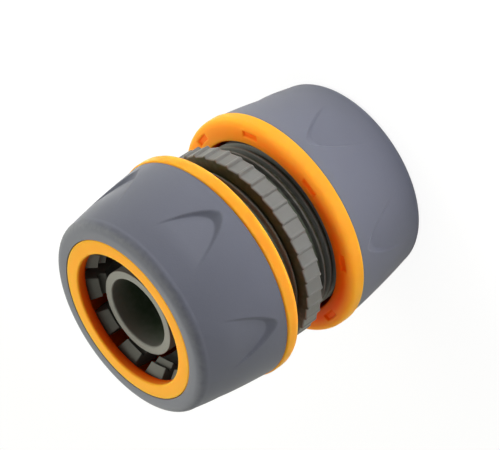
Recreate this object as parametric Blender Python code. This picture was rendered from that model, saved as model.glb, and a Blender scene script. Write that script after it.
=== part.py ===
# Hose coupler for joining two 19 mm (3/4 inch) garden hoses.
# It stands on the end face of its lower nut, with the bore along +Z and the origin at the
# middle of that face. The body is the same at both ends, and so are the two nuts, of which the
# lower one is turned end for end. Metres, +Z up.

import math

import bmesh
import bpy
from mathutils import Matrix, Vector

MM = 0.001

# Overall layout, of which the length and the rim's radius drive everything else
OVERALL_LENGTH = 60.0 * MM
RIM_RADIUS = 24.0 * MM
NUT_SPACING = 14.2 * MM
CLEARANCE = 0.3 * MM
TURN_STEPS = 60
MIDDLE = OVERALL_LENGTH / 2
NUT_LENGTH = (OVERALL_LENGTH - NUT_SPACING) / 2

# Nut grip: soft grey rubber moulded over the shell
RIM_WIDTH = 3.2 * MM
GRIP_SETBACK = 0.3 * MM
GRIP_TAPER = 3.0 * MM
GRIP_BULGE = 0.3 * MM
GRIP_END_FILLET = 2.0 * MM
GRIP_THICKNESS = 2.0 * MM
GRIP_RIM_RADIUS = RIM_RADIUS - GRIP_SETBACK
GRIP_END_RADIUS = GRIP_RIM_RADIUS - GRIP_TAPER
SCALLOP_COUNT = 6
SCALLOP_TO_RIM = 2.0 * MM
SCALLOP_TO_END = 5.5 * MM
SCALLOP_WALL_LENGTH = 2.6 * MM
SCALLOP_HALF_WIDTH = 6.4 * MM
SCALLOP_WALL_WIDTH = 0.3 * MM
SCALLOP_DEPTH = 1.0 * MM
SCALLOP_POWER = 0.5
SCALLOP_TIP_HEIGHT = RIM_WIDTH + SCALLOP_TO_RIM
SCALLOP_FADE_HEIGHT = NUT_LENGTH - SCALLOP_TO_END

# Nut shell: hard orange plastic
RIM_FILLET = 1.1 * MM
BIG_FACE_WIDTH = 4.8 * MM
NUT_ENTRY_CHAMFER = 0.35 * MM
CONE_DEPTH = 2.5 * MM
CONE_LENGTH = 7.0 * MM
LIP_THICKNESS = 2.1 * MM
END_RING_WIDTH = 3.1 * MM
END_RING_DEPTH = 2.0 * MM
END_RING_STEP = 3.3 * MM
NUT_BORE_RADIUS = RIM_RADIUS - BIG_FACE_WIDTH
CONE_SMALL_RADIUS = NUT_BORE_RADIUS - CONE_DEPTH
END_RING_RADIUS = GRIP_END_RADIUS - END_RING_STEP
MOUTH_RADIUS = END_RING_RADIUS - END_RING_WIDTH
POCKET_COUNT = 8
POCKET_HEIGHT = 1.6 * MM
POCKET_WIDTH = 3.8 * MM
POCKET_DEPTH = 0.6 * MM
POCKET_PHASE = math.radians(3.0)
POCKET_CENTRE_RADIUS = (NUT_BORE_RADIUS + RIM_RADIUS) / 2

# Body: the sleeve that the nuts screw along, and the web that joins it to the spigot
THREAD_CLEARANCE = 0.7 * MM
SLEEVE_WALL = 3.5 * MM
THREAD_RELIEF = 0.9 * MM
THREAD_START = 2.8 * MM
WEB_THICKNESS = 4.0 * MM
THREAD_RADIUS = NUT_BORE_RADIUS - THREAD_CLEARANCE
NECK_RADIUS = THREAD_RADIUS - THREAD_RELIEF
SLEEVE_INNER_RADIUS = THREAD_RADIUS - SLEEVE_WALL

# Body: the claws that the sleeve ends in
CLAW_COUNT = 12
CLAW_RECESS = 4.5 * MM
CLAW_LENGTH = 9.5 * MM
CLAW_HOOK_LENGTH = 3.6 * MM
CLAW_HOOK_RAMP = 1.5 * MM
CLAW_TIP_DEPTH = 3.4 * MM
CLAW_TIP_STEP = 1.5 * MM
CLAW_ROOT_STEP = 1.0 * MM
CLAW_GAP = 2.8 * MM
CLAW_CHAMFER = 0.4 * MM
CLAW_PHASE = math.radians(5.0)
CLAW_TIP_HEIGHT = MIDDLE - CLAW_RECESS
CLAW_ROOT_HEIGHT = CLAW_TIP_HEIGHT - CLAW_LENGTH
CLAW_ROOT_RADIUS = THREAD_RADIUS - CLAW_ROOT_STEP
CLAW_TIP_OUTER_RADIUS = THREAD_RADIUS - CLAW_TIP_STEP
CLAW_TIP_INNER_RADIUS = CLAW_TIP_OUTER_RADIUS - CLAW_TIP_DEPTH
THREAD_END = CLAW_ROOT_HEIGHT - (THREAD_RADIUS - CLAW_ROOT_RADIUS)

# Body: the bored spigot that the hose is pushed over, with the hose's wall as its space
HOSE_SPACE = 4.4 * MM
SPIGOT_WALL = 1.8 * MM
SPIGOT_RECESS = 2.8 * MM
SPIGOT_CHAMFER = 0.3 * MM
SPIGOT_RADIUS = CLAW_TIP_INNER_RADIUS - HOSE_SPACE
BORE_RADIUS = SPIGOT_RADIUS - SPIGOT_WALL
SPIGOT_HALF_LENGTH = MIDDLE - SPIGOT_RECESS

# Body: the toothed flange that fingers hold while a nut is turned
FLANGE_WIDTH = 4.0 * MM
FLANGE_STEP = 2.5 * MM
TOOTH_DEPTH = 0.5 * MM
TOOTH_RIB_STEP = 0.2 * MM
TOOTH_COUNT = 40
TOOTH_RISE_SHARE = 0.08
TOOTH_CREST_SHARE = 0.12
TOOTH_RIB_SHARE = 0.08
TOOTH_PHASE = math.radians(5.4)
FLANGE_CHAMFER = 0.3 * MM
FLANGE_TIP_RADIUS = THREAD_RADIUS + FLANGE_STEP

# Where each nut happened to stop when it was last turned
UPPER_NUT_ANGLE = math.radians(-90.0)
LOWER_NUT_ANGLE = math.radians(35.5)

# How finely round surfaces are divided
FILLET_STEPS = 3
SECTOR_COLUMNS = 12
FLOOR_ROWS = 6
WALL_ROWS = 3
MERGE_DISTANCE = 0.01 * MM

BODY_GREY = (0.115, 0.115, 0.112)
SHELL_ORANGE = (1.0, 0.32, 0.015)
GRIP_GREY = (0.20, 0.21, 0.255)


def make_material(name, colour, roughness):
    material = bpy.data.materials.new(name)
    material.use_nodes = True
    shader = material.node_tree.nodes["Principled BSDF"]
    shader.inputs["Base Color"].default_value = (*colour, 1.0)
    shader.inputs["Roughness"].default_value = roughness
    shader.inputs["Metallic"].default_value = 0.0
    return material


def add_object(name, bm, material=None):
    """Hand a finished bmesh over to a new object, shaded smooth apart from its real edges."""
    bmesh.ops.recalc_face_normals(bm, faces=bm.faces)
    mesh = bpy.data.meshes.new(name)
    bm.to_mesh(mesh)
    bm.free()
    mesh.shade_smooth()
    mesh.set_sharp_from_angle(angle=math.radians(30))
    if material:
        mesh.materials.append(material)
    piece = bpy.data.objects.new(name, mesh)
    bpy.context.scene.collection.objects.link(piece)
    return piece


def turned(profile):
    """Turn a closed outline of (radius, height) points once round Z."""
    bm = bmesh.new()
    corners = [bm.verts.new((radius, 0.0, height)) for radius, height in profile]
    edges = [bm.edges.new((a, b)) for a, b in zip(corners, corners[1:] + corners[:1])]
    bmesh.ops.spin(
        bm,
        geom=corners + edges,
        cent=(0.0, 0.0, 0.0),
        axis=(0.0, 0.0, 1.0),
        angle=math.tau,
        steps=TURN_STEPS,
        use_merge=True,
    )
    return bm


def add_loft(bm, loops):
    """Skin a stack of loops that have as many points each, and close both ends."""
    rings = [[bm.verts.new(point) for point in loop] for loop in loops]
    for lower, upper in zip(rings, rings[1:]):
        count = len(lower)
        for i in range(count):
            j = (i + 1) % count
            bm.faces.new((lower[i], lower[j], upper[j], upper[i]))
    bm.faces.new(rings[0])
    bm.faces.new(rings[-1])


def combine(piece, tool, operation):
    """Cut or join a piece with a tool shape, which stays in the file as a hidden guide."""
    tool.display_type = "WIRE"
    tool.hide_render = True
    step = piece.modifiers.new(tool.name, "BOOLEAN")
    step.operation = operation
    step.object = tool
    step.solver = "EXACT"


def polar(radius, angle, height):
    return Vector((radius * math.cos(angle), radius * math.sin(angle), height))


def fillet(centre_radius, centre_height, size, start, end):
    """Points of a round edge, from one angle to another, in the outline's plane."""
    points = []
    for i in range(FILLET_STEPS + 1):
        angle = start + (end - start) * i / FILLET_STEPS
        points.append(
            (centre_radius + size * math.cos(angle), centre_height + size * math.sin(angle))
        )
    return points


# Body: one grey moulding with a spigot, a sleeve and a ring of claws at each end


def body_half_outline():
    """Outline of the upper half, from the bore's end over the tip to the flange."""
    spigot_top = SPIGOT_HALF_LENGTH
    web_top = WEB_THICKNESS / 2
    hook_foot = CLAW_TIP_HEIGHT - CLAW_HOOK_LENGTH
    return [
        (BORE_RADIUS, spigot_top - SPIGOT_CHAMFER),
        (BORE_RADIUS + SPIGOT_CHAMFER, spigot_top),
        (SPIGOT_RADIUS - SPIGOT_CHAMFER, spigot_top),
        (SPIGOT_RADIUS, spigot_top - SPIGOT_CHAMFER),
        (SPIGOT_RADIUS, web_top),
        (SLEEVE_INNER_RADIUS, web_top),
        (SLEEVE_INNER_RADIUS, hook_foot - CLAW_HOOK_RAMP),
        (CLAW_TIP_INNER_RADIUS, hook_foot),
        (CLAW_TIP_INNER_RADIUS, CLAW_TIP_HEIGHT - CLAW_CHAMFER),
        (CLAW_TIP_INNER_RADIUS + CLAW_CHAMFER, CLAW_TIP_HEIGHT),
        (CLAW_TIP_OUTER_RADIUS - CLAW_CHAMFER, CLAW_TIP_HEIGHT),
        (CLAW_TIP_OUTER_RADIUS, CLAW_TIP_HEIGHT - CLAW_CHAMFER),
        (CLAW_ROOT_RADIUS, CLAW_ROOT_HEIGHT),
        (THREAD_RADIUS, THREAD_END),
        (THREAD_RADIUS, THREAD_START),
        (NECK_RADIUS, THREAD_START - (THREAD_RADIUS - NECK_RADIUS)),
    ]


def flange_loop(inset, height):
    """Saw-toothed outline: a steep rise to a narrow rib, a step off it and a long flat fall."""
    tooth_angle = math.tau / TOOTH_COUNT
    loop = []
    for i in range(TOOTH_COUNT):
        start = TOOTH_PHASE + i * tooth_angle
        crest = start + TOOTH_RISE_SHARE * tooth_angle
        crest_end = crest + TOOTH_CREST_SHARE * tooth_angle
        rib_foot = crest_end + TOOTH_RIB_SHARE * tooth_angle
        loop.append(polar(FLANGE_TIP_RADIUS - TOOTH_DEPTH - inset, start, height))
        loop.append(polar(FLANGE_TIP_RADIUS - inset, crest, height))
        loop.append(polar(FLANGE_TIP_RADIUS - inset, crest_end, height))
        loop.append(polar(FLANGE_TIP_RADIUS - TOOTH_RIB_STEP - inset, rib_foot, height))
    return loop


def make_flange():
    half = FLANGE_WIDTH / 2
    bm = bmesh.new()
    add_loft(
        bm,
        [
            flange_loop(FLANGE_CHAMFER, -half),
            flange_loop(0.0, FLANGE_CHAMFER - half),
            flange_loop(0.0, half - FLANGE_CHAMFER),
            flange_loop(FLANGE_CHAMFER, half),
        ],
    )
    return add_object("flange_tool", bm)


def make_flange_core():
    """The round that the flange's blank is opened to, half way into the sleeve's wall."""
    radius = (SLEEVE_INNER_RADIUS + NECK_RADIUS) / 2
    bm = bmesh.new()
    bmesh.ops.create_cone(
        bm,
        cap_ends=True,
        segments=TURN_STEPS,
        radius1=radius,
        radius2=radius,
        depth=2 * FLANGE_WIDTH,
    )
    return add_object("flange_core_tool", bm)


def make_claw_gaps():
    """Straight saw cuts from the claws' tips down to their roots, at both ends."""
    inner = (SPIGOT_RADIUS + CLAW_TIP_INNER_RADIUS) / 2
    outer = THREAD_RADIUS + CLEARANCE
    length = CLAW_TIP_HEIGHT - CLAW_ROOT_HEIGHT + CLAW_GAP
    bm = bmesh.new()
    for end in (1, -1):
        for i in range(CLAW_COUNT):
            angle = CLAW_PHASE + (i + 0.5) * math.tau / CLAW_COUNT
            middle = Vector(((inner + outer) / 2, 0.0, end * (CLAW_ROOT_HEIGHT + length / 2)))
            size = Matrix.Diagonal((outer - inner, CLAW_GAP, length, 1.0))
            place = Matrix.Rotation(angle, 4, "Z") @ Matrix.Translation(middle) @ size
            bmesh.ops.create_cube(bm, size=1.0, matrix=place)
    return add_object("claw_gap_tool", bm)


def make_body():
    upper = body_half_outline()
    lower = [(radius, -height) for radius, height in reversed(upper)]
    body = add_object(
        "coupler_body",
        turned(upper + lower),
        make_material("body_grey", BODY_GREY, 0.45),
    )
    flange = make_flange()
    flange_core = make_flange_core()
    claw_gaps = make_claw_gaps()
    combine(flange, flange_core, "DIFFERENCE")
    combine(body, flange, "UNION")
    combine(body, claw_gaps, "DIFFERENCE")
    for piece in (body, flange, flange_core, claw_gaps):
        piece.location.z = MIDDLE


# Nuts: in a nut's own frame the big end's face is at height 0 and the hose enters at the top


def grip_radius(height):
    """Outer radius of the barrel: a straight taper with a slight bulge."""
    share = (height - RIM_WIDTH) / (NUT_LENGTH - RIM_WIDTH)
    taper = GRIP_RIM_RADIUS + (GRIP_END_RADIUS - GRIP_RIM_RADIUS) * share
    return taper + GRIP_BULGE * 4 * share * (1 - share)


def seat_radius(height):
    """Outer radius of the shell under the grip, which has one thickness all along."""
    return grip_radius(height) - GRIP_THICKNESS


def shoulder_heights():
    """Top and foot of the 45 degree shoulder that leads from the end ring to the seat."""
    upper = NUT_LENGTH - END_RING_DEPTH
    return upper, upper - (seat_radius(upper) - END_RING_RADIUS)


def shell_outline():
    top = NUT_LENGTH
    cone_foot = top - LIP_THICKNESS - CONE_LENGTH
    shoulder_top, shoulder_foot = shoulder_heights()
    outline = [
        (NUT_BORE_RADIUS + NUT_ENTRY_CHAMFER, 0.0),
        (NUT_BORE_RADIUS, NUT_ENTRY_CHAMFER),
        (NUT_BORE_RADIUS, cone_foot),
        (CONE_SMALL_RADIUS, top - LIP_THICKNESS),
        (MOUTH_RADIUS, top - LIP_THICKNESS),
        (MOUTH_RADIUS, top),
        (END_RING_RADIUS, top),
        (END_RING_RADIUS, shoulder_top),
        (seat_radius(shoulder_foot), shoulder_foot),
        (seat_radius(NUT_LENGTH / 2), NUT_LENGTH / 2),
        (seat_radius(RIM_WIDTH), RIM_WIDTH),
        (GRIP_RIM_RADIUS, RIM_WIDTH),
    ]
    return outline + fillet(
        RIM_RADIUS - RIM_FILLET, RIM_FILLET, RIM_FILLET, 0.0, -math.pi / 2
    )


def arch_half_angle(height, tip, width):
    """Half the angle that the arch spans at a height, as a power of the distance from its tip."""
    share = max(height - tip, 0.0) / (SCALLOP_FADE_HEIGHT - tip)
    return width * min(share, 1.0) ** SCALLOP_POWER / grip_radius(SCALLOP_FADE_HEIGHT)


def scallop_depth(height):
    """Depth of the floor: it drops off the arch's tip and rises again to the surface."""
    inner_tip = SCALLOP_TIP_HEIGHT + SCALLOP_WALL_LENGTH
    drop = (height - SCALLOP_TIP_HEIGHT) / SCALLOP_WALL_LENGTH
    rise = (SCALLOP_FADE_HEIGHT - height) / (SCALLOP_FADE_HEIGHT - inner_tip)
    return SCALLOP_DEPTH * max(min(drop, rise), 0.0)


def plain_loop(radius, height):
    """A level ring of the layer's surface, with even columns."""
    columns = SCALLOP_COUNT * SECTOR_COLUMNS
    first = 1 - SECTOR_COLUMNS // 2
    return [
        polar(radius, i * math.tau / columns, height) for i in range(first, first + columns)
    ]


def barrel_loop(height):
    """A level ring of the barrel, whose columns follow the arch's two outlines."""
    sector = math.tau / SCALLOP_COUNT
    outer = arch_half_angle(height, SCALLOP_TIP_HEIGHT, SCALLOP_HALF_WIDTH)
    inner_tip = SCALLOP_TIP_HEIGHT + SCALLOP_WALL_LENGTH
    inner = arch_half_angle(height, inner_tip, SCALLOP_HALF_WIDTH - SCALLOP_WALL_WIDTH)
    depth = scallop_depth(height)
    radius = grip_radius(height)
    half_columns = [(0.0, depth), (inner / 2, depth), (inner, depth), (outer, 0.0)]
    for i in (1, 2, 3):
        half_columns.append((outer + (sector / 2 - outer) * i / 3, 0.0))
    columns = [(-angle, sunk) for angle, sunk in half_columns[-2:0:-1]] + half_columns
    loop = []
    for i in range(SCALLOP_COUNT):
        for angle, sunk in columns:
            loop.append(polar(radius - sunk, i * sector + angle, height))
    return loop


def add_grip_skin(bm):
    """The soft layer's closed skin: over its end, down the barrel and back along the shell."""
    top = NUT_LENGTH
    foot = RIM_WIDTH + CLEARANCE
    shoulder_top, shoulder_foot = shoulder_heights()
    mitre = CLEARANCE * math.tan(math.pi / 8)
    fillet_height = top - GRIP_END_FILLET
    inner_tip = SCALLOP_TIP_HEIGHT + SCALLOP_WALL_LENGTH
    end_fillet = fillet(
        grip_radius(fillet_height) - GRIP_END_FILLET,
        fillet_height,
        GRIP_END_FILLET,
        math.pi / 2,
        0.0,
    )
    ring_heights = (shoulder_top + mitre, top)
    loops = [plain_loop(END_RING_RADIUS + CLEARANCE, height) for height in ring_heights]
    loops += [plain_loop(radius, height) for radius, height in end_fillet]
    for i in range(FLOOR_ROWS + 1):
        share = (1 - i / FLOOR_ROWS) ** 2
        loops.append(barrel_loop(inner_tip + (SCALLOP_FADE_HEIGHT - inner_tip) * share))
    for i in range(1, WALL_ROWS + 1):
        loops.append(barrel_loop(inner_tip - SCALLOP_WALL_LENGTH * i / WALL_ROWS))
    loops.append(barrel_loop(foot))
    for height in (foot, NUT_LENGTH / 2):
        loops.append(plain_loop(seat_radius(height) + CLEARANCE, height))
    loops.append(plain_loop(seat_radius(shoulder_foot) + CLEARANCE, shoulder_foot + mitre))
    rings = [[bm.verts.new(point) for point in loop] for loop in loops]
    for this, following in zip(rings, rings[1:] + rings[:1]):
        for i in range(len(this)):
            j = (i + 1) % len(this)
            bm.faces.new((this[i], this[j], following[j], following[i]))


def make_grip(name, material):
    """The columns meet in one point at each arch's two tips, so doubles there are merged."""
    bm = bmesh.new()
    add_grip_skin(bm)
    bmesh.ops.remove_doubles(bm, verts=bm.verts, dist=MERGE_DISTANCE)
    return add_object(name, bm, material)


def make_pockets():
    """Shallow oblong pockets in the big end's face."""
    bm = bmesh.new()
    for i in range(POCKET_COUNT):
        angle = POCKET_PHASE + i * math.tau / POCKET_COUNT
        size = Matrix.Diagonal((POCKET_HEIGHT, POCKET_WIDTH, 2 * POCKET_DEPTH, 1.0))
        middle = Matrix.Translation((POCKET_CENTRE_RADIUS, 0.0, 0.0))
        place = Matrix.Rotation(angle, 4, "Z") @ middle @ size
        bmesh.ops.create_cube(bm, size=1.0, matrix=place)
    return add_object("pocket_tool", bm)


def make_nut(name, frame, orange, grey):
    """One nut, from the bonded pair of shell and grip, in the frame of its big end's face."""
    shell = add_object(name + "_shell", turned(shell_outline()), orange)
    grip = make_grip(name + "_grip", grey)
    pockets = make_pockets()
    combine(shell, pockets, "DIFFERENCE")
    for piece in (shell, grip, pockets):
        piece.matrix_world = frame


def make_nuts():
    orange = make_material("shell_orange", SHELL_ORANGE, 0.35)
    grey = make_material("grip_grey", GRIP_GREY, 0.6)
    upper_face = OVERALL_LENGTH - NUT_LENGTH
    lower_face = NUT_LENGTH
    turned_over = Matrix.Rotation(math.pi, 4, "X")
    upper = Matrix.Translation((0.0, 0.0, upper_face)) @ Matrix.Rotation(UPPER_NUT_ANGLE, 4, "Z")
    lower = Matrix.Translation((0.0, 0.0, lower_face)) @ Matrix.Rotation(LOWER_NUT_ANGLE, 4, "Z")
    make_nut("upper_nut", upper, orange, grey)
    make_nut("lower_nut", lower @ turned_over, orange, grey)


for old in list(bpy.data.objects):
    bpy.data.objects.remove(old, do_unlink=True)

make_body()
make_nuts()
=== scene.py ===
import math

import bmesh
import bpy
import numpy as np
from mathutils import Matrix, Vector


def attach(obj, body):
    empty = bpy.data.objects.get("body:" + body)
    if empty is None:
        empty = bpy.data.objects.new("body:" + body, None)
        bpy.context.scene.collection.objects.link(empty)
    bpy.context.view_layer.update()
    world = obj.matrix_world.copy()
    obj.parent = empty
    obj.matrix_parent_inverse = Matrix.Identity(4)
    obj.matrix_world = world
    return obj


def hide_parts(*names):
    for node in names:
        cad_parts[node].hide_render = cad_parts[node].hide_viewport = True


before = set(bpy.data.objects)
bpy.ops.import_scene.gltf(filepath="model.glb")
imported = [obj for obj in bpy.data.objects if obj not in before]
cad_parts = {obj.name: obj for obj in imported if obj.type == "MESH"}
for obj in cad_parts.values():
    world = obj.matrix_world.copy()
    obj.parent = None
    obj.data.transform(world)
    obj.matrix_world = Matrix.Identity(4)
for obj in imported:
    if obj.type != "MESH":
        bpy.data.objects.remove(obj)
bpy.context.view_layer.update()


# Body tube: the middle of the grey moulding, as it leaves the mould in one shot of hard plastic.
# It has a bored spigot at each end for the hose to be pushed over, a web, and the sleeve round it.

MM = 0.001
LENGTH = 60.0
MIDDLE = LENGTH / 2
BORE_RADIUS = 7.4
SPIGOT_RADIUS = 9.2
SPIGOT_REACH = 27.2
SPIGOT_OUTER_ROUND = 0.15
SPIGOT_INNER_ROUND = 0.4
SLEEVE_INNER_RADIUS = 15.0
NECK_RADIUS = 17.6
THREAD_RADIUS = 18.5
SLEEVE_END = 16.0
SLEEVE_END_RADIUS = 17.5
WEB_HALF_THICKNESS = 2.0
WEB_ROUND = 0.8
NECK_START = 4.0
NECK_END = 14.9
BORE_SHADE_START = 22.0
EDGE_TOLERANCE = 0.1
MERGE_DISTANCE = 1e-7
TUBE_COLUMNS = 240


def soft_outline(corners, steps=6, hold=0.2):
    """Closed outline through corners of (radius, height, fillet). Each corner gives way to the
    parabola (1-t)^2 a + 2t(1-t) c + t^2 b, where a and b lie on its two sides one fillet away, and
    one more point a little further out on each side keeps the flats flat in smooth shading."""
    table = np.array(corners, float)
    corner, size = table[:, None, :2], table[:, None, 2:]
    before = np.roll(corner, 1, axis=0) - corner
    after = np.roll(corner, -1, axis=0) - corner
    before = before / np.linalg.norm(before, axis=-1, keepdims=True)
    after = after / np.linalg.norm(after, axis=-1, keepdims=True)
    start, end = corner + size * before, corner + size * after
    t = np.linspace(0.0, 1.0, steps)[None, :, None]
    arcs = (1 - t) ** 2 * start + 2 * t * (1 - t) * corner + t**2 * end
    arcs = np.concatenate([start + hold * size * before, arcs, end + hold * size * after], axis=1)
    return arcs.reshape(-1, 2)


def turn(radius, height, angle):
    """Points of a surface of revolution: (radius cos angle, radius sin angle, height), where the
    three arrays are spread over the same grid."""
    radius, height, angle = np.broadcast_arrays(radius, height, angle)
    return np.stack([radius * np.cos(angle), radius * np.sin(angle), height], axis=-1)


def skin(name, points, closed_rows=True, share=0.0):
    """A smooth mesh from a grid of points in millimetres, (..., rows, columns, 3). Each quad joins
    a point to its neighbours at row+1 and column+1; columns close on themselves, and rows do too
    unless they end in poles, whose equal points are merged. share is a value from 0 to 1 that each
    point keeps: how much of its finish's third colour it has."""
    rows, columns = points.shape[-3:-1]
    index = np.arange(points[..., 0].size).reshape(-1, rows, columns)
    across = np.roll(index, -1, axis=2)
    quads = np.stack([index, across, np.roll(across, -1, axis=1), np.roll(index, -1, axis=1)], -1)
    if not closed_rows:
        quads = quads[:, :-1]
    quads = quads.reshape(-1, 4).astype(np.int32)
    mesh = bpy.data.meshes.new(name)
    mesh.vertices.add(index.size)
    mesh.vertices.foreach_set("co", (points * MM).astype(np.float32).ravel())
    mesh.loops.add(quads.size)
    mesh.loops.foreach_set("vertex_index", quads.ravel())
    mesh.polygons.add(len(quads))
    mesh.polygons.foreach_set("loop_start", np.arange(0, quads.size, 4, dtype=np.int32))
    mesh.update(calc_edges=True)
    store = mesh.attributes.new("share", "FLOAT", "POINT")
    shares = np.broadcast_to(share, points.shape[:-1])
    store.data.foreach_set("value", np.asarray(shares, np.float32).ravel())
    if not closed_rows:
        merged = bmesh.new()
        merged.from_mesh(mesh)
        bmesh.ops.remove_doubles(merged, verts=merged.verts, dist=MERGE_DISTANCE)
        merged.to_mesh(mesh)
        merged.free()
    mesh.validate()
    mesh.shade_smooth()
    piece = bpy.data.objects.new(name, mesh)
    bpy.context.scene.collection.objects.link(piece)
    return piece


def whole_turn(columns):
    """Angles of evenly spaced columns once round."""
    return np.arange(columns) * (math.tau / columns)


tube_half = [
    (NECK_RADIUS, NECK_START, 0.6),
    (NECK_RADIUS, NECK_END, 0.3),
    (SLEEVE_END_RADIUS, SLEEVE_END, 0.35),
    (SLEEVE_INNER_RADIUS, SLEEVE_END, 0.35),
    (SLEEVE_INNER_RADIUS, WEB_HALF_THICKNESS, WEB_ROUND),
    (SPIGOT_RADIUS, WEB_HALF_THICKNESS, WEB_ROUND),
    (SPIGOT_RADIUS, SPIGOT_REACH, SPIGOT_OUTER_ROUND),
    (BORE_RADIUS, SPIGOT_REACH, SPIGOT_INNER_ROUND),
    (BORE_RADIUS, BORE_SHADE_START, 0.2),
]
tube_other_half = [(radius, -height, fillet) for radius, height, fillet in reversed(tube_half)]
tube_outline = soft_outline(tube_half + tube_other_half)
tube_radius, tube_height = tube_outline[:, :1], tube_outline[:, 1:] + MIDDLE
from_middle = abs(tube_height - MIDDLE)
# Painted shade: the bore near the middle and the neck get the dark third colour.
shaded_bore = (tube_radius < BORE_RADIUS + EDGE_TOLERANCE) & (from_middle < BORE_SHADE_START + 0.5)
shaded_neck = (tube_radius > NECK_RADIUS - EDGE_TOLERANCE) & (from_middle < NECK_END + 0.3)
body_tube = skin(
    "body_tube", turn(tube_radius, tube_height, whole_turn(TUBE_COLUMNS)), share=shaded_bore | shaded_neck
)


def socketed_group(name, inputs, outputs):
    """An empty shader node group with float inputs (name, value) and named float outputs."""
    group = bpy.data.node_groups.new(name, "ShaderNodeTree")
    for label, value in inputs:
        socket = group.interface.new_socket(label, in_out="INPUT", socket_type="NodeSocketFloat")
        socket.default_value = value
    for label in outputs:
        group.interface.new_socket(label, in_out="OUTPUT", socket_type="NodeSocketFloat")
    return group, group.nodes.new("NodeGroupInput"), group.nodes.new("NodeGroupOutput")


def moulded_surface():
    """Node group: grain is fine noise for bump, cloud is broad noise spread from 0 to 1 for colour
    and gloss, and share is the one kept in the mesh, which noise of its own cuts down in places to
    the least share given."""
    inputs = [("Grain size", 2600.0), ("Cloud size", 70.0)]
    inputs += [("Patch size", 900.0), ("Least share", 1.0)]
    group, given, result = socketed_group("moulded_surface", inputs, ["Grain", "Cloud", "Share"])
    nodes, link = group.nodes, group.links.new
    place = nodes.new("ShaderNodeTexCoord")
    noise = {}
    for label, detail in (("Grain size", 2.0), ("Cloud size", 4.0), ("Patch size", 3.0)):
        node = nodes.new("ShaderNodeTexNoise")
        node.inputs["Detail"].default_value = detail
        link(place.outputs["Object"], node.inputs["Vector"])
        link(given.outputs[label], node.inputs["Scale"])
        noise[label] = node.outputs["Fac"]
    link(noise["Grain size"], result.inputs["Grain"])
    spread = nodes.new("ShaderNodeMapRange")
    spread.inputs["From Min"].default_value = 0.3
    spread.inputs["From Max"].default_value = 0.7
    link(noise["Cloud size"], spread.inputs["Value"])
    link(spread.outputs["Result"], result.inputs["Cloud"])
    kept = nodes.new("ShaderNodeAttribute")
    kept.attribute_name = "share"
    patches = nodes.new("ShaderNodeMapRange")
    patches.inputs["From Min"].default_value = 0.35
    patches.inputs["From Max"].default_value = 0.6
    link(noise["Patch size"], patches.inputs["Value"])
    link(given.outputs["Least share"], patches.inputs["To Min"])
    both = nodes.new("ShaderNodeMath")
    both.operation = "MULTIPLY"
    link(kept.outputs["Fac"], both.inputs[0])
    link(patches.outputs["Result"], both.inputs[1])
    link(both.outputs["Value"], result.inputs["Share"])
    return group


moulded = moulded_surface()


def plastic(name, colours, least_share, roughness, grain_size, grain_depth, shine):
    """A moulded plastic: its colour runs from the first to the second with the cloud and to the
    third with the share, its roughness between two values with the cloud, and the grain is its
    bump."""
    material = bpy.data.materials.new(name)
    material.use_nodes = True
    nodes, link = material.node_tree.nodes, material.node_tree.links.new
    shader = nodes["Principled BSDF"]
    shader.inputs["Specular IOR Level"].default_value = shine
    surface = nodes.new("ShaderNodeGroup")
    surface.node_tree = moulded
    surface.inputs["Grain size"].default_value = grain_size
    surface.inputs["Least share"].default_value = least_share
    tint = nodes.new("ShaderNodeMix")
    tint.data_type = "RGBA"
    tint.inputs["A"].default_value = (*colours[0], 1.0)
    tint.inputs["B"].default_value = (*colours[1], 1.0)
    link(surface.outputs["Cloud"], tint.inputs["Factor"])
    third = nodes.new("ShaderNodeMix")
    third.data_type = "RGBA"
    third.inputs["B"].default_value = (*colours[2], 1.0)
    link(surface.outputs["Share"], third.inputs["Factor"])
    link(tint.outputs["Result"], third.inputs["A"])
    link(third.outputs["Result"], shader.inputs["Base Color"])
    gloss = nodes.new("ShaderNodeMapRange")
    gloss.inputs["To Min"].default_value = roughness[0]
    gloss.inputs["To Max"].default_value = roughness[1]
    link(surface.outputs["Cloud"], gloss.inputs["Value"])
    link(gloss.outputs["Result"], shader.inputs["Roughness"])
    bump = nodes.new("ShaderNodeBump")
    bump.inputs["Strength"].default_value = 1.0
    bump.inputs["Distance"].default_value = grain_depth * MM
    link(surface.outputs["Grain"], bump.inputs["Height"])
    link(bump.outputs["Normal"], shader.inputs["Normal"])
    return material


def fit(piece, material, body, node):
    """Gives a piece its finish, hangs it on the empty of the body it rides on, and hides the solid
    from model.glb that it stands for.
    """
    piece.data.materials.append(material)
    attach(piece, body)
    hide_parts(node)


# The third colour is painted shade: a dark green-grey laid in the bore, on the neck, the thread and
# the flange's sides, where the nuts and the flange shade them.
body_plastic = plastic(
    "body_plastic",
    colours=[(0.144, 0.146, 0.146), (0.159, 0.161, 0.160), (0.05, 0.071, 0.045)],
    least_share=0.75,
    roughness=(0.42, 0.50),
    grain_size=2200.0,
    grain_depth=0.010,
    shine=0.4,
)
fit(body_tube, body_plastic, "body", "coupler_body")


# Threads: one right-hand ridge of rounded trapezoid section at each end of the sleeve, moulded with
# it. The ridge fades in close to the flange and out before the claws.

THREAD_PITCH = 1.7
THREAD_CREST_HALF = 0.13
THREAD_FLANK = 0.34
THREAD_SINK = 0.25
THREAD_FIRST = 2.3
THREAD_LAST = 14.3
THREAD_FADE = 0.3
THREAD_WIDENING = 4.0
THREAD_STATIONS_PER_TURN = 120
UPPER_THREAD_AT_ZERO = 3.38
LOWER_THREAD_AT_ZERO = 4.30
THREAD_PAINTED_SHADE = 0.15


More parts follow.
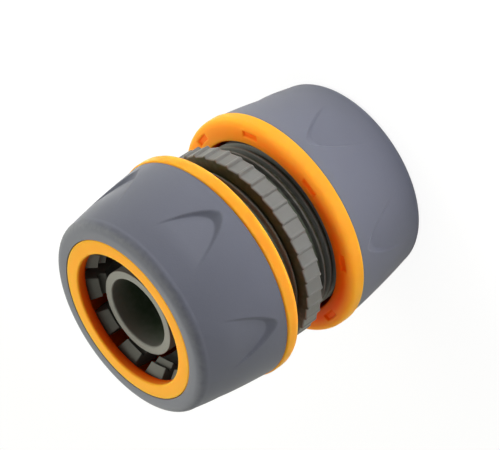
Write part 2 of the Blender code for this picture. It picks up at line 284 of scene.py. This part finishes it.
def thread_ridge(at_zero, end):
    """A closed worm along a helix. The crest is at_zero millimetres from the body's middle at angle
    0 and moves by one pitch a turn; its section is a crest flat, two curved flanks of
    smoothstep form and a floor that is sunk in the sleeve, and the whole section narrows and
    sinks away at both ends. end is 1 for the upper thread and -1 for the lower one."""
    first_turn = end * (THREAD_FIRST - at_zero) / THREAD_PITCH
    last_turn = end * (THREAD_LAST - at_zero) / THREAD_PITCH
    low, high = sorted((first_turn, last_turn))
    stations = int((high - low) * THREAD_STATIONS_PER_TURN)
    turns = np.linspace(low, high, stations)[:, None]
    distance = at_zero + end * turns * THREAD_PITCH
    rise = np.minimum(distance - THREAD_FIRST, THREAD_LAST - distance) / THREAD_FADE
    rise = np.clip(rise, 0.0, 1.0)
    rise = rise * rise * (3 - 2 * rise)
    t = np.linspace(0.0, 1.0, 7)
    swell = t * t * (3 - 2 * t)
    across = np.concatenate(
        [
            THREAD_CREST_HALF + THREAD_FLANK * (1 - t),
            -THREAD_CREST_HALF - THREAD_FLANK * t,
            [-THREAD_CREST_HALF - THREAD_FLANK, THREAD_CREST_HALF + THREAD_FLANK],
        ]
    )
    depth = THREAD_RADIUS - NECK_RADIUS
    up = np.concatenate([depth * swell, depth * swell[::-1], [-THREAD_SINK, -THREAD_SINK]])
    radius = NECK_RADIUS - THREAD_SINK + (up[None, :] + THREAD_SINK) * rise
    width = np.clip(rise * THREAD_WIDENING, 0.0, 1.0)
    height = MIDDLE + end * distance + across[None, :] * width
    return turn(radius, height, turns * math.tau)


# Painted shade: the threads get a little of the dark third colour.
for name, at_zero, end in (
    ("body_thread_upper", UPPER_THREAD_AT_ZERO, 1),
    ("body_thread_lower", LOWER_THREAD_AT_ZERO, -1),
):
    thread = skin(name, thread_ridge(at_zero, end), closed_rows=False, share=THREAD_PAINTED_SHADE)
    fit(thread, body_plastic, "body", "coupler_body")


# Claws: twelve blunt fingers at each end of the sleeve, part of the same moulding, with saw-cut
# gaps between them. The nut's cone bends them onto the hose, and their hooked tips bite into it.

CLAW_COUNT = 12
CLAW_GAP = 2.8
CLAW_PHASE = math.radians(5.0)
CLAW_EDGE = 0.2
CLAW_SIDE_DEPTH = 1.2
CLAW_CENTRE = (15.9, 24.4)
CLAW_CORNERS = [
    (17.45, 15.4, 0.2),
    (17.2, 24.5, 0.5),
    (16.5, 27.3, 0.3),
    (15.1, 27.3, 0.2),
    (13.5, 25.4, 0.12),
    (14.3, 24.9, 0.1),
    (14.3, 24.4, 0.1),
    (13.5, 23.4, 0.12),
    (14.3, 22.9, 0.15),
    (15.0, 20.4, 0.5),
    (15.0, 15.4, 0.2),
]


def claw_ring(end):
    """Twelve closed blocks. Across a claw's width, rows run from the middle of one side face out
    to its edge, round the edge with an inset of edge (1 - sin a) and a setback of edge
    (1 - cos a), and over to the other side; a side face stands asin(half gap / r) short of 15
    degrees from the claw's middle."""
    outline = soft_outline(CLAW_CORNERS, steps=7)
    outline = np.concatenate(
        [outline, (outline + np.roll(outline, -1, axis=0)) / 2], axis=1
    ).reshape(-1, 2)
    centre = np.array(CLAW_CENTRE)
    a = np.linspace(0.0, math.pi / 2, 6)
    inset = np.concatenate([[CLAW_EDGE] * 3, CLAW_EDGE * (1 - np.sin(a)), [0.0]])
    setback = np.concatenate([[0.0] * 3, CLAW_EDGE * (1 - np.cos(a)), [CLAW_SIDE_DEPTH]])
    side_steps = np.concatenate([[0.0, 0.35, 0.75], np.ones(7)])
    inset = np.concatenate([inset, inset[::-1]])[:, None]
    setback = np.concatenate([setback, setback[::-1]])[:, None]
    shrink = np.concatenate([side_steps, side_steps[::-1]])[:, None, None]
    side = np.repeat([-1.0, 1.0], len(side_steps))[:, None]
    ahead = np.roll(outline, -1, axis=0) - np.roll(outline, 1, axis=0)
    inward = np.stack([-ahead[:, 1], ahead[:, 0]], axis=-1)
    inward = inward / np.linalg.norm(inward, axis=-1, keepdims=True)
    shape = centre + shrink * (outline + inset[..., None] * inward - centre)
    radius, height = shape[..., 0], shape[..., 1]
    half_angle = math.pi / CLAW_COUNT - np.arcsin(CLAW_GAP / 2 / radius)
    local = side * (half_angle - setback / radius)
    middles = CLAW_PHASE + whole_turn(CLAW_COUNT)[:, None, None]
    points = turn(radius, height, local + middles)
    if end > 0:
        points = points[..., ::-1, :]
    return points * np.array([1.0, 1.0, end]) + np.array([0.0, 0.0, MIDDLE])


for name, end in (("body_claws_upper", 1), ("body_claws_lower", -1)):
    claws = skin(name, claw_ring(end), closed_rows=False)
    fit(claws, body_plastic, "body", "coupler_body")


# Flange: the toothed ring in the middle that fingers hold while a nut is turned. Its forty teeth
# rise steeply, keep a narrow crest and fall away flat, and the mould leaves a soft edge on them.

FLANGE_HALF_WIDTH = 2.0
FLANGE_TIP_RADIUS = 21.0
FLANGE_ROOT_RADIUS = 17.2
FLANGE_EDGE_ROUND = 0.35
FLANGE_SHADE_FADE = 0.2
TOOTH_COUNT = 40
TOOTH_PHASE = math.radians(5.4)
TOOTH_CORNERS = [0.0, 0.08, 0.20, 0.28, 1.0]
TOOTH_DROPS = [0.5, 0.0, 0.0, 0.2, 0.5]
TOOTH_ROUND = 0.025


def tooth_radius(share):
    """Tip radius over one tooth: straight lines between the corners, of which the corners are
    rounded by a moving average, the mean of the nine values within one rounding on each side."""
    near = share[:, None] + TOOTH_ROUND * np.linspace(-1.0, 1.0, 9)
    return FLANGE_TIP_RADIUS - np.interp(near, TOOTH_CORNERS, TOOTH_DROPS, period=1.0).mean(axis=1)


tooth_steps = np.concatenate([np.linspace(-0.03, 0.33, 19), [0.45, 0.65, 0.82, 0.93]])
tooth_share = np.tile(tooth_steps, TOOTH_COUNT)
tooth_start = np.repeat(whole_turn(TOOTH_COUNT), len(tooth_steps))
flange_angle = TOOTH_PHASE + tooth_start + tooth_share * math.tau / TOOTH_COUNT
flange_outline = soft_outline(
    [
        (FLANGE_ROOT_RADIUS, -FLANGE_HALF_WIDTH, 0.1),
        (FLANGE_TIP_RADIUS, -FLANGE_HALF_WIDTH, FLANGE_EDGE_ROUND),
        (FLANGE_TIP_RADIUS, FLANGE_HALF_WIDTH, FLANGE_EDGE_ROUND),
        (FLANGE_ROOT_RADIUS, FLANGE_HALF_WIDTH, 0.1),
    ]
)
flange_scale = (tooth_radius(tooth_share) - FLANGE_ROOT_RADIUS) / (
    FLANGE_TIP_RADIUS - FLANGE_ROOT_RADIUS
)
flange_radius = FLANGE_ROOT_RADIUS + (flange_outline[:, :1] - FLANGE_ROOT_RADIUS) * flange_scale
# Painted shade: the flange's sides and root get the dark third colour, which fades out over the
# rounded edge towards the tips.
flange_shade_end = FLANGE_TIP_RADIUS - FLANGE_EDGE_ROUND + 0.01
unshaded_tip = np.clip((flange_outline[:, :1] - flange_shade_end) / FLANGE_SHADE_FADE, 0.0, 1.0)
body_flange = skin(
    "body_flange",
    turn(flange_radius, flange_outline[:, 1:] + MIDDLE, flange_angle),
    share=1.0 - unshaded_tip,
)
fit(body_flange, body_plastic, "body", "coupler_body")


# Nut shells: two equal mouldings in hard orange plastic that lets a little light through. Each has
# a cone inside that closes the claws, a lip round the mouth, a rim at the big end and eight
# pockets in its big face, where cores kept the wall thin in the mould.

NUT_LENGTH = 22.9
RIM_RADIUS = 24.0
RIM_WIDTH = 3.2
RIM_ROUND = 1.5
BORE_OF_NUT = 19.2
MOUTH_RADIUS = 14.3
LIP_THICKNESS = 2.1
CONE_TOP_RADIUS = 16.7
CONE_FOOT = 13.8
SEAT_END = 19.2
END_RING_RADIUS = 17.4
END_RING_DEPTH = 2.0
POCKET_COUNT = 8
POCKET_MIDDLE_RADIUS = 21.6
POCKET_HALF_HEIGHT = 0.62
POCKET_HALF_ANGLE = math.radians(5.05)
POCKET_DEPTH = 0.35
POCKET_PHASE = math.radians(3.0)
POCKET_WALL = 0.3
# Painted shade on the pockets' floors:
POCKET_PAINTED_SHADE = 0.55
BORE_EDGE = 0.05
# Painted shade inside the mouth and on the big face, where one side is shaded more than the other:
MOUTH_SHADE_START = 0.3
MOUTH_SHADE_RISE = 0.5
FACE_SHADE_MEAN = 0.6
FACE_SHADE_SWING = 0.35
FACE_SHADIEST_ANGLE = math.radians(-144.5)
FACE_SHADE_START = 0.3
FACE_SHADE_RISE = 2.4
UPPER_NUT_ANGLE = math.radians(-90.0)
LOWER_NUT_ANGLE = math.radians(35.5)
GRIP_RIM_RADIUS = 23.7
GRIP_TAPER = 3.0
GRIP_BULGE = 0.3
GRIP_THICKNESS = 2.0


def grip_radius(height):
    """Outer radius of the barrel over the height above the big end's face: a straight taper plus a
    parabola, bulge 4 s (1-s), where s is the share of the way from the rim to the small end."""
    s = (height - RIM_WIDTH) / (NUT_LENGTH - RIM_WIDTH)
    return GRIP_RIM_RADIUS - GRIP_TAPER * s + GRIP_BULGE * 4 * s * (1 - s)


def place_nut(points, upper):
    """From a nut's own frame, with the big end's face at height 0 and the hose's end above, to
    the object's frame: the upper nut is turned about Z and lifted, the lower one is first turned
    over."""
    if upper:
        angle, lift = UPPER_NUT_ANGLE, LENGTH - NUT_LENGTH
    else:
        points = points * np.array([1.0, -1.0, -1.0])
        angle, lift = LOWER_NUT_ANGLE, NUT_LENGTH
    x, y, z = points[..., 0], points[..., 1], points[..., 2]
    cos, sin = math.cos(angle), math.sin(angle)
    return np.stack([x * cos - y * sin, x * sin + y * cos, z + lift], axis=-1)


def pocket_depth(radius, angle):
    """Depth of the pockets over the big face: one inside each oblong, with walls of smoothstep form
    that run from 0 to 1 over one wall width, radially and round."""
    pitch = math.tau / POCKET_COUNT
    off = np.abs((angle + pitch / 2) % pitch - pitch / 2)
    in_height = POCKET_HALF_HEIGHT - np.abs(radius - POCKET_MIDDLE_RADIUS)
    in_width = (POCKET_HALF_ANGLE - off) * POCKET_MIDDLE_RADIUS
    inside = np.clip(np.minimum(in_height, in_width) / POCKET_WALL + 0.5, 0.0, 1.0)
    return POCKET_DEPTH * inside * inside * (3 - 2 * inside)


def painted_shade_share(radius, height, angle):
    """How much painted shade the orange gets, from 0 to 1. Inside it rises from 0 near the mouth's
    edge to 1 and stays there; outside it is 0 on the rim and the end ring; on the big face it is a
    mean plus a cosine of the angle from the side painted shadiest, and falls to 0 towards the rim."""
    inside = np.clip((NUT_LENGTH - MOUTH_SHADE_START - height) / MOUTH_SHADE_RISE, 0.0, 1.0)
    depth = FACE_SHADE_MEAN + FACE_SHADE_SWING * np.cos(angle - FACE_SHADIEST_ANGLE)
    face = depth * np.clip((RIM_RADIUS - FACE_SHADE_START - radius) / FACE_SHADE_RISE, 0.0, 1.0)
    outside = np.where(height < RIM_WIDTH / 2, face, 0.0)
    return np.where(radius < BORE_OF_NUT + BORE_EDGE, inside, outside)


def shell_grid():
    """The shell's outline turned round, with columns and face rows set close where the pockets'
    walls stand, and the big face pushed in by the pockets' depth; with it, each point's share of
    painted shade."""
    seat = grip_radius(np.array([RIM_WIDTH, NUT_LENGTH / 2, SEAT_END])) - GRIP_THICKNESS
    wall = POCKET_WALL / 2
    inner = POCKET_MIDDLE_RADIUS - POCKET_HALF_HEIGHT
    outer = POCKET_MIDDLE_RADIUS + POCKET_HALF_HEIGHT
    outline = soft_outline(
        [
            (BORE_OF_NUT, 0.0, 0.4),
            (RIM_RADIUS, 0.0, RIM_ROUND),
            (RIM_RADIUS, RIM_WIDTH, 0.4),
            (seat[0], RIM_WIDTH, 0.1),
            (seat[1], NUT_LENGTH / 2, 0.1),
            (seat[2], SEAT_END, 0.1),
            (END_RING_RADIUS, NUT_LENGTH - END_RING_DEPTH, 0.1),
            (END_RING_RADIUS, NUT_LENGTH, 0.3),
            (MOUTH_RADIUS, NUT_LENGTH, 0.45),
            (MOUTH_RADIUS, NUT_LENGTH - LIP_THICKNESS, 0.2),
            (CONE_TOP_RADIUS, NUT_LENGTH - LIP_THICKNESS, 0.3),
            (BORE_OF_NUT, CONE_FOOT, 1.5),
        ]
    )
    across_wall = np.array([-1.0, -0.5, 0.5, 1.0])
    face_rows = np.concatenate(
        [
            [inner - 0.4],
            inner + wall * across_wall,
            [POCKET_MIDDLE_RADIUS],
            outer + wall * across_wall,
        ]
    )
    points_a_corner = 8
    outline = np.concatenate(
        [
            outline[:points_a_corner],
            np.stack([face_rows, np.zeros(len(face_rows))], axis=-1),
            outline[points_a_corner + 1 :],
        ]
    )
    turn_of_wall = wall / POCKET_MIDDLE_RADIUS
    edge = POCKET_HALF_ANGLE
    half = math.pi / POCKET_COUNT
    side = np.concatenate(
        [
            np.linspace(edge / 4, edge - 2 * turn_of_wall, 4),
            edge + turn_of_wall * across_wall,
            np.linspace(edge + 3 * turn_of_wall, half, 9)[:-1],
        ]
    )
    sector = np.concatenate([[-half], -side[::-1], [0.0], side])
    angle = (whole_turn(POCKET_COUNT)[:, None] + sector).ravel()
    radius, height = outline[:, :1], outline[:, 1:]
    share = painted_shade_share(radius, height, angle + POCKET_PHASE)
    sunk = (height == 0.0) * pocket_depth(radius, angle)
    # Painted shade: the pockets' floors get more of the deep third colour.
    share = share + POCKET_PAINTED_SHADE * (1 - share) * sunk / POCKET_DEPTH
    return turn(radius, height + sunk, angle + POCKET_PHASE), share


# The third colour is a deep red-orange of painted shade, laid inside the mouth and cone, in the
# pockets, and more on one side of the big face than on the other.
shell_plastic = plastic(
    "shell_plastic",
    colours=[(0.95, 0.355, 0.03), (0.97, 0.375, 0.04), (0.94, 0.08, 0.0)],
    least_share=1.0,
    roughness=(0.34, 0.42),
    grain_size=1800.0,
    grain_depth=0.008,
    shine=0.015,
)
shell_shader = shell_plastic.node_tree.nodes["Principled BSDF"]
shell_shader.inputs["Subsurface Weight"].default_value = 0.7
shell_shader.inputs["Subsurface Radius"].default_value = (1.0, 0.45, 0.15)
shell_shader.inputs["Subsurface Scale"].default_value = 3.0 * MM
shell_points, shell_painted_shade = shell_grid()
for body in ("upper_nut", "lower_nut"):
    shell = skin(
        body + "_shell_orange", place_nut(shell_points, body == "upper_nut"), share=shell_painted_shade
    )
    fit(shell, shell_plastic, body, body + "_shell")


# Nut grips: soft grey rubber moulded over each shell in a second shot, in one thickness. It wraps
# the barrel from the rim to the end ring, and six arched thumb hollows fade out towards the
# small end.

GRIP_FOOT = 3.24
GRIP_INNER_RADIUS = 17.5
GRIP_END_ROUND = 2.0
GRIP_SEAT_GAP = 0.15
GRIP_COLUMNS = 720
GRIP_ROWS = 104
SCALLOP_COUNT = 6
SCALLOP_TIP = 5.2
SCALLOP_FADE = 17.4
SCALLOP_WALL_LENGTH = 2.2
SCALLOP_DEPTH = 1.0
SCALLOP_OUTER_POWER = 0.62
SCALLOP_INNER_POWER = 0.5
SCALLOP_FADE_ROUND = 0.3
SCALLOP_OUTER_HALF = 6.4
SCALLOP_INNER_HALF = 6.1
SCALLOP_STRAIGHT = 0.65
WEAR_PLACE = 0.08
WEAR_SPREAD = 0.08
END_WEAR = 0.6


def scallop(height, angle):
    """Depth of the thumb hollows and the share of their wall. An arch is the curve whose half
    width is a power of the height above its tip; s is how far up a point is from the outer arch,
    as a share of the height between the outer and the inner arch there. The wall drops with s,
    and the floor inside it climbs straight back to the surface, which it meets in a soft bend."""
    sector = math.tau / SCALLOP_COUNT
    off = np.abs((angle + sector / 2) % sector - sector / 2) * grip_radius(height)
    reach = SCALLOP_FADE - SCALLOP_TIP
    inner_reach = reach - SCALLOP_WALL_LENGTH
    outer_tip = reach * (off / SCALLOP_OUTER_HALF) ** (1 / SCALLOP_OUTER_POWER)
    inner_tip = inner_reach * (off / SCALLOP_INNER_HALF) ** (1 / SCALLOP_INNER_POWER)
    between = np.maximum(SCALLOP_WALL_LENGTH + inner_tip - outer_tip, 0.05)
    s = np.clip((height - SCALLOP_TIP - outer_tip) / between, 0.0, 1.0)
    drop = SCALLOP_STRAIGHT * s + (1 - SCALLOP_STRAIGHT) * s * s * (3 - 2 * s)
    rise = np.clip((SCALLOP_FADE - height) / inner_reach, 0.0, 1.0)
    soft = np.minimum(rise, SCALLOP_FADE_ROUND)
    floor = rise - soft + soft * soft / (2 * SCALLOP_FADE_ROUND)
    return SCALLOP_DEPTH * drop * floor, s


def grip_grid():
    """Rows go up the barrel, round the end in a quarter circle and back down along the shell; the
    barrel's rows are sunk by the thumb hollows. Returns the points and the wear of each, which is
    a bell curve over the hollows' upper edge, exp(-x^2), and sin^2 (2 a) over the round end."""
    angle = whole_turn(GRIP_COLUMNS)
    barrel_top = NUT_LENGTH - GRIP_END_ROUND
    barrel_height = np.linspace(GRIP_FOOT + 0.5, barrel_top, GRIP_ROWS)[:, None]
    sunk, wall = scallop(barrel_height, angle[None, :])
    barrel_radius = grip_radius(barrel_height) - sunk
    top_radius = grip_radius(barrel_top)
    a = np.linspace(0.0, math.pi / 2, 13)[1:]
    end_radius = top_radius - GRIP_END_ROUND * (1 - np.cos(a))
    end_height = barrel_top + GRIP_END_ROUND * np.sin(a)
    seat_end = SEAT_END + GRIP_SEAT_GAP
    seat = grip_radius(np.array([seat_end, NUT_LENGTH / 2, GRIP_FOOT]))
    seat = seat - GRIP_THICKNESS + GRIP_SEAT_GAP
    lip_out = np.array([0.12, 0.02, 0.0, 0.0])
    lip_down = np.array([0.0, 0.02, 0.12, END_RING_DEPTH - 0.1])
    inner_radius = np.concatenate([GRIP_INNER_RADIUS + lip_out, seat])
    inner_height = np.concatenate([NUT_LENGTH - lip_down, [seat_end, NUT_LENGTH / 2, GRIP_FOOT]])
    foot_in = np.array([0.3, 0.08, 0.02, 0.0])
    foot_up = np.array([0.0, 0.02, 0.08, 0.25])
    foot_radius = grip_radius(GRIP_FOOT) - foot_in
    foot_height = GRIP_FOOT + foot_up
    plain_radius = np.concatenate([end_radius, inner_radius, foot_radius])[:, None]
    plain_height = np.concatenate([end_height, inner_height, foot_height])[:, None]
    plain_radius, plain_height, _ = np.broadcast_arrays(plain_radius, plain_height, angle)
    barrel_height = np.broadcast_to(barrel_height, barrel_radius.shape)
    radius = np.concatenate([barrel_radius, plain_radius])
    height = np.concatenate([barrel_height, plain_height])
    proud = np.exp(-(((wall - WEAR_PLACE) / WEAR_SPREAD) ** 2)) * (sunk > 0)
    plain_wear = np.zeros_like(plain_radius)
    plain_wear[: len(a)] = END_WEAR * np.sin(2 * a)[:, None] ** 2
    return turn(radius, height, angle), np.concatenate([proud, plain_wear])


# The third colour is the paler one of rubber that is worn on its proud edges.
grip_rubber = plastic(
    "grip_rubber",
    colours=[(0.116, 0.122, 0.172), (0.124, 0.130, 0.180), (0.16, 0.166, 0.214)],
    least_share=0.0,
    roughness=(0.50, 0.58),
    grain_size=3200.0,
    grain_depth=0.014,
    shine=0.4,
)
grip_points, grip_wear = grip_grid()
for body in ("upper_nut", "lower_nut"):
    grip = skin(
        body + "_grip_rubber", place_nut(grip_points, body == "upper_nut"), share=grip_wear
    )
    fit(grip, grip_rubber, body, body + "_grip")


# Floor: a wide sheet of matt white card, which the coupler stands on. Its own white is mixed in
# for the camera alone, so that it lights nothing and the shadow stays.

FLOOR_HALF_WIDTH = 3000.0
CARD_WHITE = 0.92
CARD_REFLECTANCE = 0.86
CARD_ROUGHNESS = 0.9

corner = np.array([-1.0, 1.0]) * FLOOR_HALF_WIDTH * MM
floor_mesh = bpy.data.meshes.new("floor")
floor_mesh.from_pydata(
    [(corner[i], corner[j], 0.0) for i, j in ((0, 0), (1, 0), (1, 1), (0, 1))],
    [],
    [(0, 1, 2, 3)],
)
floor = bpy.data.objects.new("floor", floor_mesh)
bpy.context.scene.collection.objects.link(floor)

card = bpy.data.materials.new("white_card")
card.use_nodes = True
card_nodes, card_link = card.node_tree.nodes, card.node_tree.links.new
card_paint = card_nodes["Principled BSDF"]
card_paint.inputs["Base Color"].default_value = (*[CARD_REFLECTANCE] * 3, 1.0)
card_paint.inputs["Roughness"].default_value = CARD_ROUGHNESS
card_glow = card_nodes.new("ShaderNodeEmission")
card_glow.inputs["Color"].default_value = (1.0, 1.0, 1.0, 1.0)
card_ray = card_nodes.new("ShaderNodeLightPath")
card_share = card_nodes.new("ShaderNodeMath")
card_share.operation = "MULTIPLY"
card_share.inputs[1].default_value = CARD_WHITE
card_link(card_ray.outputs["Is Camera Ray"], card_share.inputs[0])
card_mix = card_nodes.new("ShaderNodeMixShader")
card_link(card_share.outputs["Value"], card_mix.inputs["Fac"])
card_link(card_paint.outputs["BSDF"], card_mix.inputs[1])
card_link(card_glow.outputs["Emission"], card_mix.inputs[2])
card_link(card_mix.outputs["Shader"], card_nodes["Material Output"].inputs["Surface"])
floor_mesh.materials.append(card)


# Studio light: soft boxes behind, beside and over the coupler, and small dim lamps close round it
# that shine down, so that the pale floor lights its underside, all in an evenly lit tent, which
# the camera alone sees as white.

BOX_DISTANCE = 0.8
BOX_WIDTH = 0.5
BOX_COLOUR = (1.0, 1.0, 0.84)
FLOOR_LAMP_DISTANCE = 0.11
FLOOR_LAMP_HEIGHT = 0.07
FLOOR_LAMP_WIDTH = 0.1
FLOOR_LAMP_SPREAD = math.radians(100.0)
FLOOR_LAMP_COLOUR = (0.97, 0.98, 1.0)
TENT_COLOUR = (0.99, 1.0, 0.84, 1.0)
TENT_STRENGTH = 0.2
WHITE = (1.0, 1.0, 1.0, 1.0)


def area_lamp(name, place, width, height, power, colour):
    """A rectangular lamp that shines down and that the camera doesn't see."""
    lamp = bpy.data.lights.new(name, "AREA")
    lamp.shape = "RECTANGLE"
    lamp.size = width
    lamp.size_y = height
    lamp.energy = power
    lamp.color = colour
    box = bpy.data.objects.new(name, lamp)
    bpy.context.scene.collection.objects.link(box)
    box.location = place
    box.visible_camera = False
    return box


def soft_box(name, azimuth, elevation, height, power):
    """A lamp that looks at the coupler's middle from a direction in degrees, from +X towards +Y
    and above the floor."""
    a, e = math.radians(azimuth), math.radians(elevation)
    out = Vector((math.cos(a) * math.cos(e), math.sin(a) * math.cos(e), math.sin(e)))
    place = Vector((0.0, 0.0, MIDDLE * MM)) + out * BOX_DISTANCE
    box = area_lamp(name, place, BOX_WIDTH, height, power, BOX_COLOUR)
    box.rotation_euler = out.to_track_quat("Z", "Y").to_euler()


def floor_lamp(azimuth, power):
    """A small lamp beside the coupler that shines straight down on the floor."""
    a = math.radians(azimuth)
    place = Vector((math.cos(a), math.sin(a), 0.0)) * FLOOR_LAMP_DISTANCE
    place.z = FLOOR_LAMP_HEIGHT
    box = area_lamp(
        "floor_lamp", place, FLOOR_LAMP_WIDTH, FLOOR_LAMP_WIDTH, power, FLOOR_LAMP_COLOUR
    )
    box.data.spread = FLOOR_LAMP_SPREAD


soft_box("key", azimuth=0.0, elevation=50.0, height=0.5, power=3.35)
soft_box("side", azimuth=120.0, elevation=50.0, height=0.5, power=0.9)
soft_box("top", azimuth=0.0, elevation=90.0, height=0.5, power=1.7)
soft_box("back_low", azimuth=30.0, elevation=4.0, height=0.4, power=1.4)
soft_box("back_high", azimuth=60.0, elevation=22.0, height=0.4, power=1.1)
soft_box("back_high", azimuth=90.0, elevation=22.0, height=0.4, power=1.1)
floor_lamp(azimuth=-90.0, power=0.128)
floor_lamp(azimuth=-45.0, power=0.086)
floor_lamp(azimuth=-135.0, power=0.086)
floor_lamp(azimuth=45.0, power=0.062)

tent = bpy.data.worlds.new("tent")
tent.use_nodes = True
tent_nodes, tent_link = tent.node_tree.nodes, tent.node_tree.links.new
cloth = tent_nodes["Background"]
cloth.inputs["Color"].default_value = TENT_COLOUR
cloth.inputs["Strength"].default_value = TENT_STRENGTH
backdrop = tent_nodes.new("ShaderNodeBackground")
backdrop.inputs["Color"].default_value = WHITE
backdrop.inputs["Strength"].default_value = 1.0
tent_ray = tent_nodes.new("ShaderNodeLightPath")
tent_mix = tent_nodes.new("ShaderNodeMixShader")
tent_link(tent_ray.outputs["Is Camera Ray"], tent_mix.inputs["Fac"])
tent_link(cloth.outputs["Background"], tent_mix.inputs[1])
tent_link(backdrop.outputs["Background"], tent_mix.inputs[2])
tent_link(tent_mix.outputs["Shader"], tent_nodes["World Output"].inputs["Surface"])
bpy.context.scene.world = tent


# Camera: a long lens that looks down at the coupler and is turned round its axis, so that the
# coupler lies across the picture as it does in the photograph.

CAMERA_PLACE = Vector((-116.2155, -375.2044, 255.0251)) * MM
CAMERA_TARGET = Vector((1.529, -2.455, 26.779)) * MM
CAMERA_ROLL = math.radians(123.52)
CAMERA_LENS = 165.516

forward = (CAMERA_TARGET - CAMERA_PLACE).normalized()
level = forward.cross(Vector((0.0, 0.0, 1.0))).normalized()
upright = level.cross(forward)
up = math.cos(CAMERA_ROLL) * upright + math.sin(CAMERA_ROLL) * level
right = forward.cross(up)
lens = bpy.data.cameras.new("camera")
lens.lens = CAMERA_LENS
lens.sensor_width = 36.0
lens.clip_start = 0.01
lens.clip_end = 20.0
camera = bpy.data.objects.new("camera", lens)
bpy.context.scene.collection.objects.link(camera)
turned = Matrix((right, up, -forward)).transposed().to_4x4()
camera.matrix_world = Matrix.Translation(CAMERA_PLACE) @ turned
bpy.context.scene.camera = camera
bpy.context.scene.view_settings.view_transform = "Standard"

bpy.context.view_layer.update()
